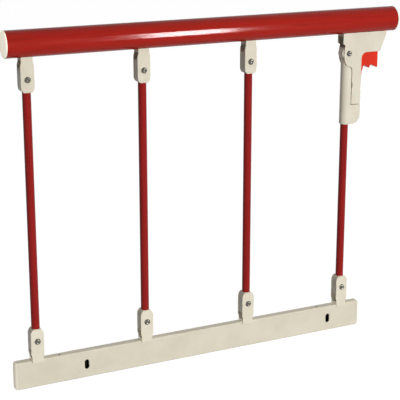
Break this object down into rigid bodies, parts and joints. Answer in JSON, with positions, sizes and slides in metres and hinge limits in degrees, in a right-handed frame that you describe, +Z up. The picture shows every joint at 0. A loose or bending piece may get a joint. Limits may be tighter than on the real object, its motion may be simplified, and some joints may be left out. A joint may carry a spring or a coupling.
{
  "type": "folding bed guard rail",
  "caption": "Folding bed guard rail: a round top rail on parallel posts that swing down together over a flat bottom rail, held up by a sprung trigger latch.",
  "frame": {"origin": "middle of the bottom rail's back face, which is bolted to the side of the bed", "axes": "+X along the rails towards the latch end, +Y from the front face through the back face towards the bed, +Z up"},
  "size_m": [0.5618, 0.0342, 0.4668],
  "materials": {
    "cream_coating": "satin powder coat",
    "cream_plastic": "moulded, satin",
    "red_wood_grain": "glossy wood-grain print under lacquer",
    "red_plastic": "moulded, gloss",
    "satin_steel": "zinc plated, satin",
    "spring_steel": "bright drawn wire"
  },
  "bodies": {
    "bottom_rail": {"bottom_rail_tube": "cream_coating", "bottom_rail_cap_left": "cream_plastic", "bottom_rail_cap_right": "cream_plastic", "lower_bracket_1": "cream_coating", "lower_bracket_screw_1": "satin_steel", "lower_pivot_rivet_1": "satin_steel", "lower_bracket_2": "cream_coating", "lower_bracket_screw_2": "satin_steel", "lower_pivot_rivet_2": "satin_steel", "lower_bracket_3": "cream_coating", "lower_bracket_screw_3": "satin_steel", "lower_pivot_rivet_3": "satin_steel", "lower_bracket_4": "cream_coating", "lower_bracket_screw_4": "satin_steel", "lower_pivot_rivet_4": "satin_steel"},
    "post_1": {"post_tube_1": "red_wood_grain", "post_lower_fitting_1": "cream_plastic", "post_upper_fitting_1": "cream_plastic"},
    "post_2": {"post_tube_2": "red_wood_grain", "post_lower_fitting_2": "cream_plastic", "post_upper_fitting_2": "cream_plastic"},
    "post_3": {"post_tube_3": "red_wood_grain", "post_lower_fitting_3": "cream_plastic", "post_upper_fitting_3": "cream_plastic"},
    "post_4": {"post_tube_4": "red_wood_grain", "post_lower_fitting_4": "cream_plastic", "latch_housing": "cream_plastic"},
    "top_rail": {"top_rail_tube": "red_wood_grain", "top_rail_cap_left": "cream_plastic", "top_rail_cap_right": "cream_plastic", "latch_bracket": "cream_plastic", "latch_bracket_screw_1": "satin_steel", "latch_bracket_screw_2": "satin_steel", "upper_bracket_1": "cream_coating", "upper_bracket_screw_1": "satin_steel", "upper_bracket_2": "cream_coating", "upper_bracket_screw_2": "satin_steel", "upper_bracket_3": "cream_coating", "upper_bracket_screw_3": "satin_steel", "upper_pivot_rivet_1": "satin_steel", "upper_pivot_rivet_2": "satin_steel", "upper_pivot_rivet_3": "satin_steel", "upper_pivot_rivet_4": "satin_steel"},
    "trigger": {"trigger": "red_plastic", "latch_bolt": "satin_steel", "latch_cross_pin": "satin_steel", "latch_spring": "spring_steel"}
  },
  "joints": [
    {"name": "post_4_lean", "type": "hinge", "parent": "bottom_rail", "child": "post_4", "pos_m": [0.228, -0.0057, 0.0453], "axis": [0, 1, 0], "range_deg": [0, 80]},
    {"name": "post_1_lean", "type": "hinge", "parent": "bottom_rail", "child": "post_1", "pos_m": [-0.228, -0.0057, 0.0453], "axis": [0, 1, 0], "range_deg": [0, 80]},
    {"name": "post_2_lean", "type": "hinge", "parent": "bottom_rail", "child": "post_2", "pos_m": [-0.076, -0.0057, 0.0453], "axis": [0, 1, 0], "range_deg": [0, 80]},
    {"name": "post_3_lean", "type": "hinge", "parent": "bottom_rail", "child": "post_3", "pos_m": [0.076, -0.0057, 0.0453], "axis": [0, 1, 0], "range_deg": [0, 80]},
    {"name": "top_rail_level", "type": "hinge", "parent": "post_4", "child": "top_rail", "pos_m": [0.228, -0.0057, 0.3873], "axis": [0, 1, 0], "range_deg": [-80, 0]},
    {"name": "trigger_slide", "type": "slide", "parent": "top_rail", "child": "trigger", "axis": [0, 0, 1], "range_m": [-0.007, 0], "stiffness_N_per_m": 300, "springref_m": -0.02, "deforming": ["latch_spring"]}
  ],
  "couplings": [
    {"joint": "post_1_lean", "follows": "post_4_lean", "ratio": 1},
    {"joint": "post_2_lean", "follows": "post_4_lean", "ratio": 1},
    {"joint": "post_3_lean", "follows": "post_4_lean", "ratio": 1},
    {"joint": "top_rail_level", "follows": "post_4_lean", "ratio": -1}
  ]
}
